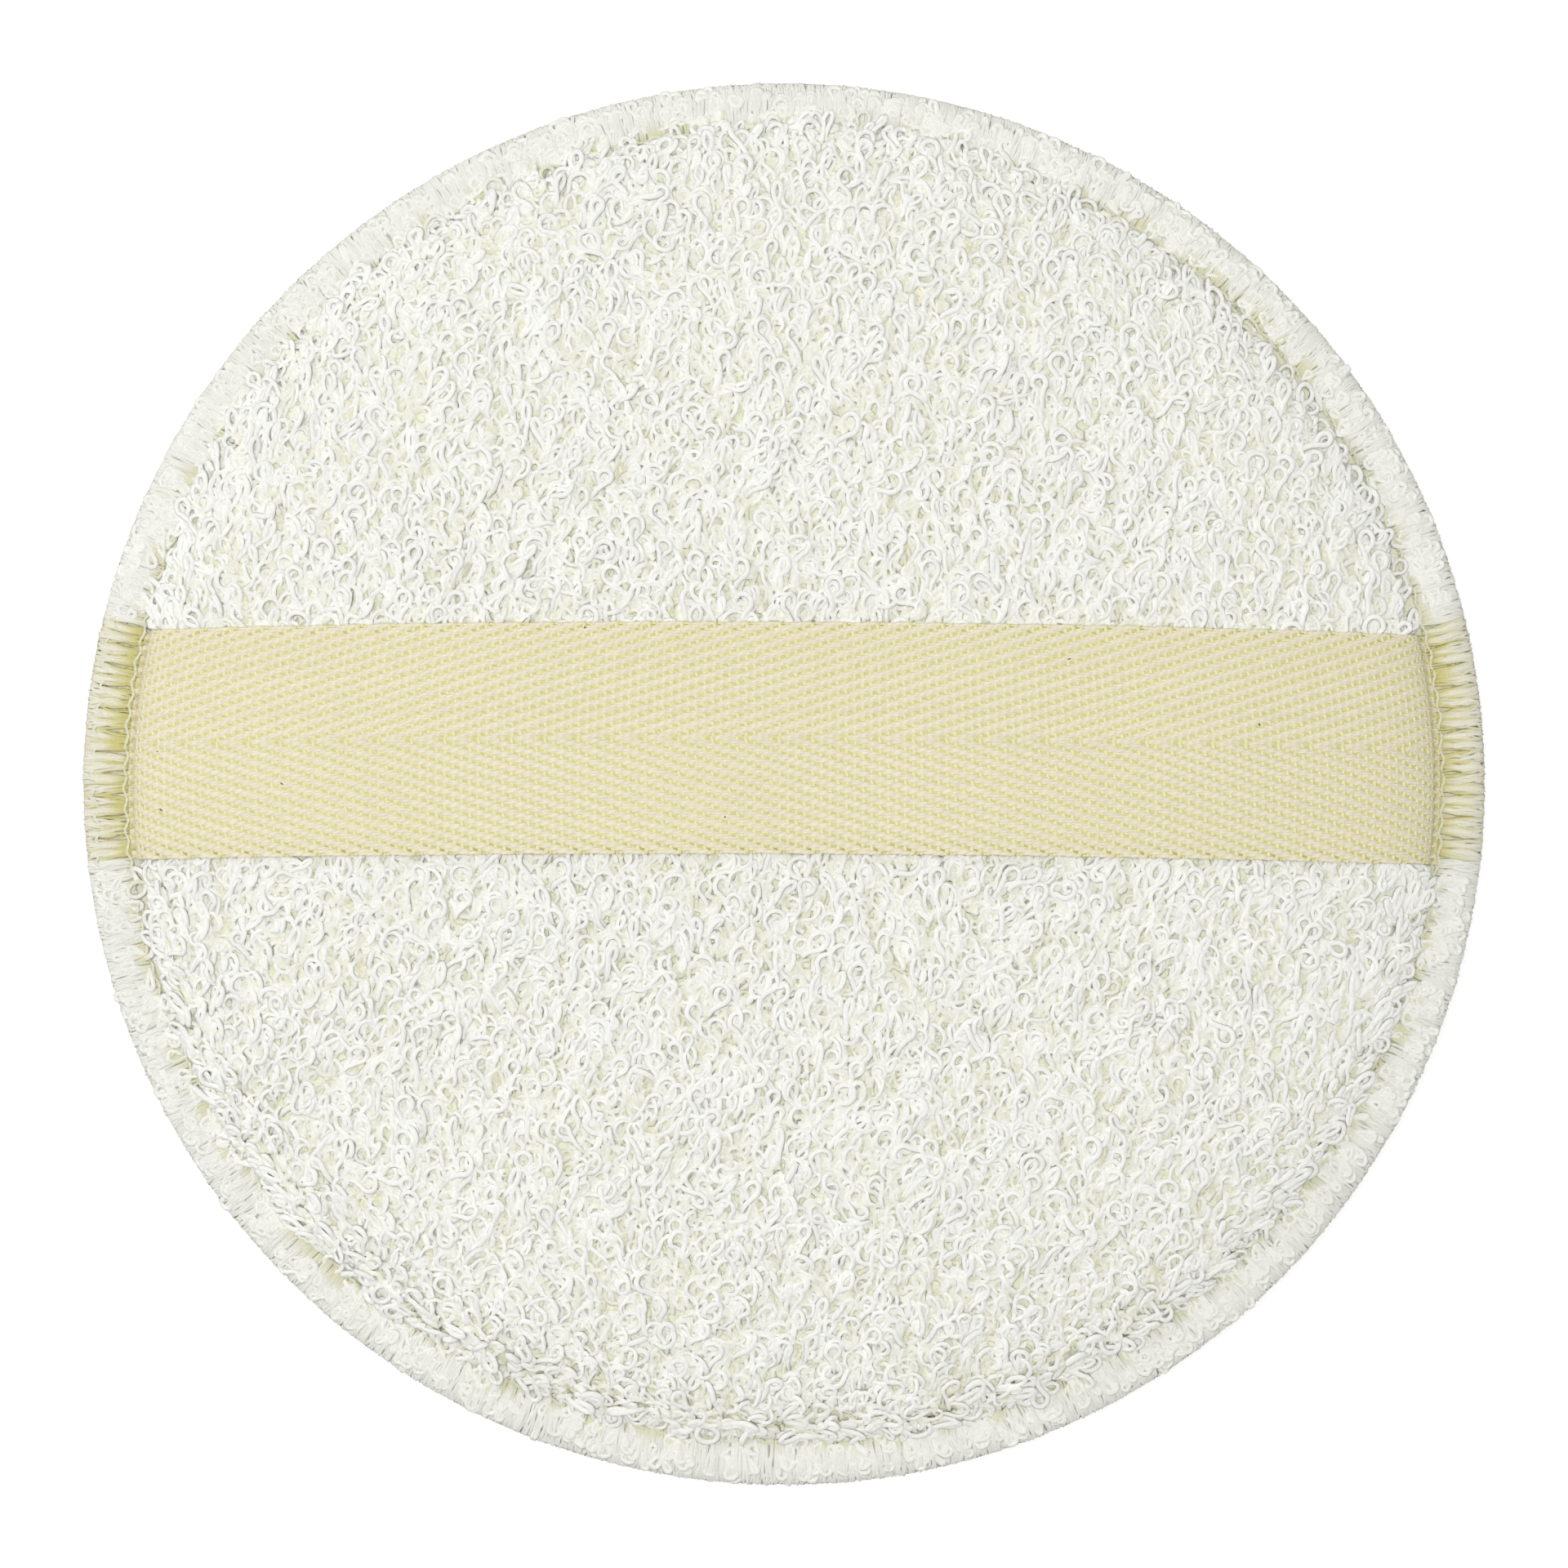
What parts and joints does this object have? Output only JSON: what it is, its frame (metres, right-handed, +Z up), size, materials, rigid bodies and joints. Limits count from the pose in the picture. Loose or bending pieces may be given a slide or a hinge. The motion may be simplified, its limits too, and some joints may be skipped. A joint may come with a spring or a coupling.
{
  "type": "body sponge",
  "caption": "Round padded terry body sponge with a woven tape strap across one face for the hand and an overlocked rim.",
  "frame": {"origin": "middle of the flat foot on the scrubbing side, on which the pad rests", "axes": "+Z up through the pad towards the strap, X along the strap, Y across it"},
  "size_m": [0.155, 0.155, 0.0288],
  "materials": {
    "terry": "matte looped pile",
    "herringbone_tape": "matte woven twill",
    "overlock_thread": "matte fluffy yarn",
    "foam": "matte open cell"
  },
  "bodies": {
    "pad": {"upper_terry_cover": "terry", "lower_terry_cover": "terry", "foam_core": "foam", "upper_looper_thread": "overlock_thread", "lower_looper_thread": "overlock_thread", "needle_thread": "overlock_thread"},
    "strap": {"hand_strap": "herringbone_tape"}
  },
  "joints": [
    {"name": "strap_lift", "type": "slide", "parent": "pad", "child": "strap", "axis": [0, 0, 1], "range_m": [0, 0.012], "deforming": ["hand_strap"]}
  ]
}
